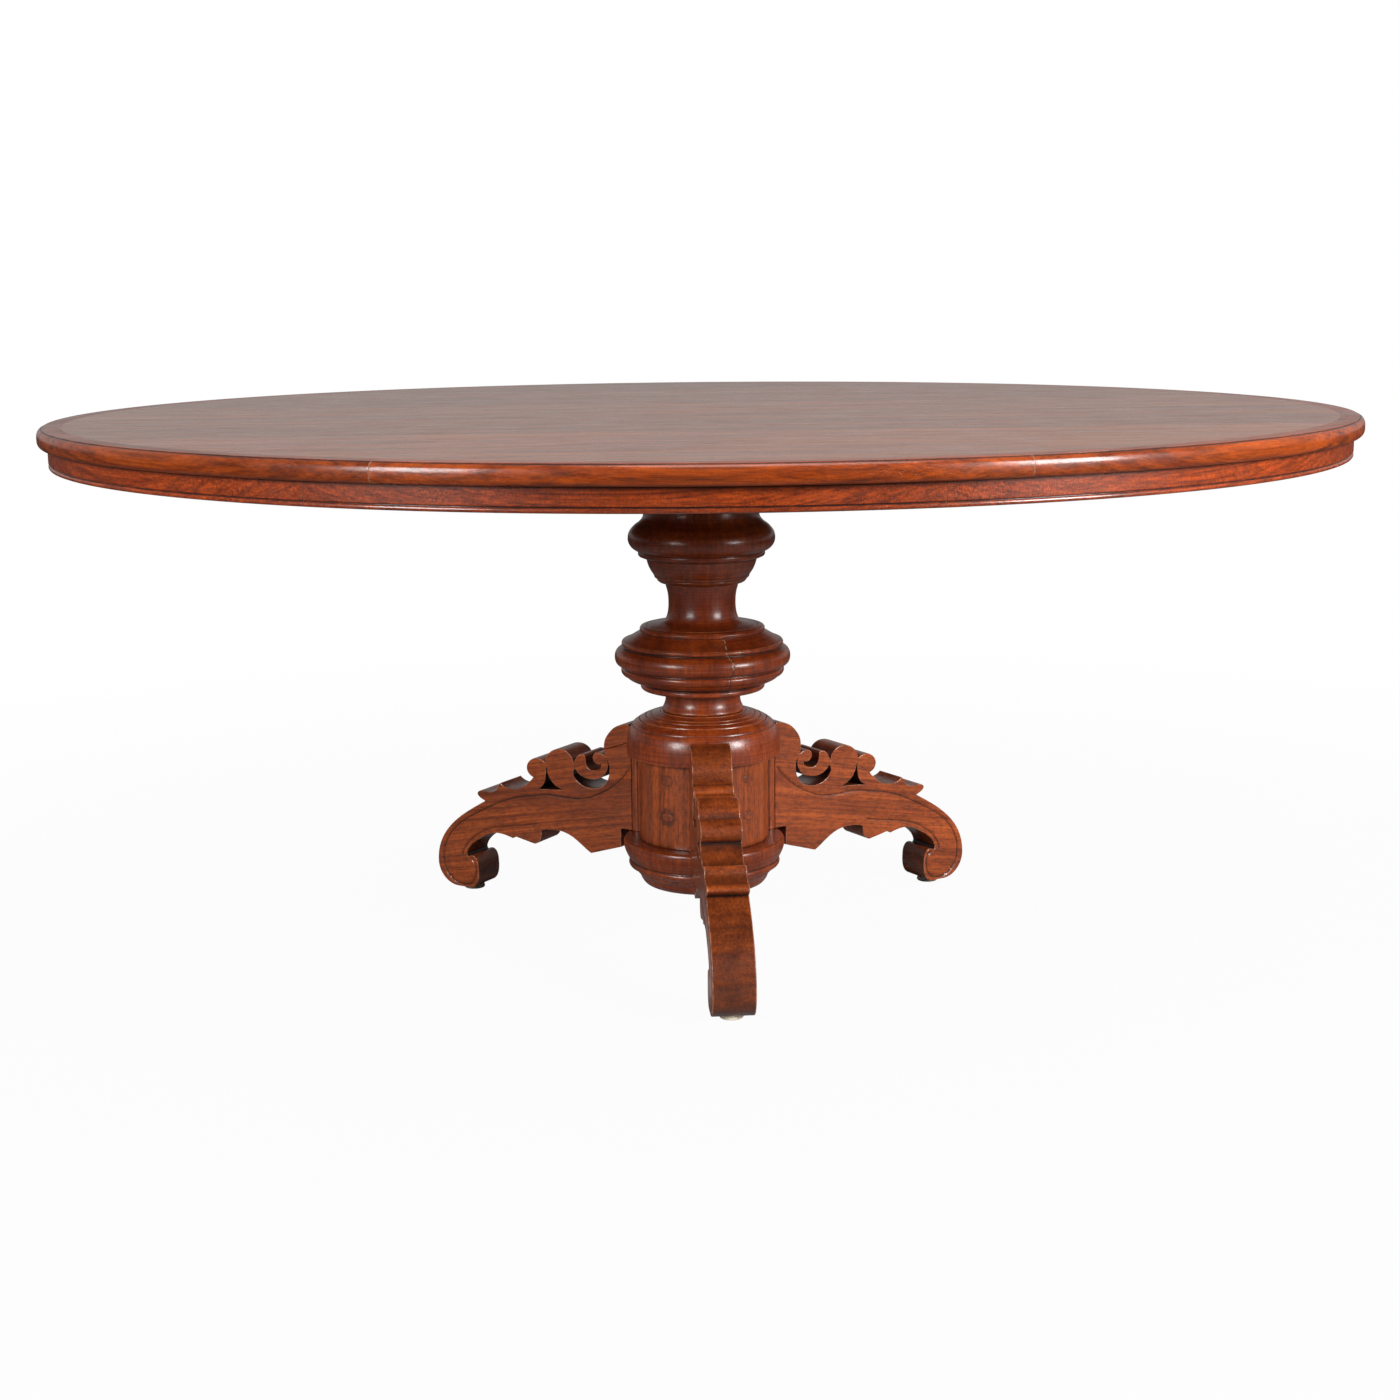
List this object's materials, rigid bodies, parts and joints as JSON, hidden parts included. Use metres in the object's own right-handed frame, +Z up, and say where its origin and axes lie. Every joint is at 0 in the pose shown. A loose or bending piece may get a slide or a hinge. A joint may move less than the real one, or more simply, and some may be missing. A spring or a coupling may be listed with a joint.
{
  "type": "round pedestal table",
  "caption": "Round dining table with a moulded rim and apron on a turned column with carved scroll legs.",
  "frame": {"origin": "on the floor, on the column's axis", "axes": "+Z up, -Y towards the front leg, +X to the right as seen from the front"},
  "size_m": [1.816, 1.816, 0.76],
  "materials": {
    "top_wood": "gloss varnish over red-brown stained oak",
    "rim_wood": "gloss varnish over red-brown stained oak",
    "column_wood": "gloss varnish over dark red-brown stained oak",
    "leg_wood": "gloss varnish over red-brown stained oak",
    "hidden_wood": "bare planed oak, lightly stained",
    "peg_wood": "varnished end grain",
    "screw_steel": "dull steel",
    "pad_felt": "felt"
  },
  "bodies": {
    "root": {"top_board_1": "top_wood", "top_board_2": "top_wood", "top_board_3": "top_wood", "top_board_4": "top_wood", "top_board_5": "top_wood", "top_board_6": "top_wood", "top_board_7": "top_wood", "top_board_8": "top_wood", "rim_moulding_1": "rim_wood", "rim_moulding_2": "rim_wood", "rim_moulding_3": "rim_wood", "rim_moulding_4": "rim_wood", "rim_moulding_5": "rim_wood", "rim_moulding_6": "rim_wood", "rim_moulding_7": "rim_wood", "rim_moulding_8": "rim_wood", "apron_segment_1": "rim_wood", "apron_segment_2": "rim_wood", "apron_segment_3": "rim_wood", "apron_segment_4": "rim_wood", "apron_segment_5": "rim_wood", "apron_segment_6": "rim_wood", "apron_segment_7": "rim_wood", "apron_segment_8": "rim_wood", "left_bearer": "hidden_wood", "right_bearer": "hidden_wood", "top_block": "hidden_wood", "bearer_screw_1": "screw_steel", "bearer_screw_2": "screw_steel", "bearer_screw_3": "screw_steel", "bearer_screw_4": "screw_steel", "bearer_screw_5": "screw_steel", "bearer_screw_6": "screw_steel", "bearer_screw_7": "screw_steel", "bearer_screw_8": "screw_steel", "column_capital": "column_wood", "column_shaft": "column_wood", "base_cap": "column_wood", "base_drum": "column_wood", "plinth_moulding": "column_wood", "bottom_disc": "column_wood", "front_leg": "leg_wood", "front_leg_stile": "leg_wood", "right_leg": "leg_wood", "right_leg_stile": "leg_wood", "left_leg": "leg_wood", "left_leg_stile": "leg_wood", "left_leg_shoulder_tip": "leg_wood", "front_leg_lower_peg": "peg_wood", "front_leg_upper_peg": "peg_wood", "right_leg_lower_peg": "peg_wood", "right_leg_upper_peg": "peg_wood", "left_leg_lower_peg": "peg_wood", "left_leg_upper_peg": "peg_wood", "front_foot_pad": "pad_felt", "right_foot_pad": "pad_felt", "left_foot_pad": "pad_felt"}
  },
  "joints": []
}
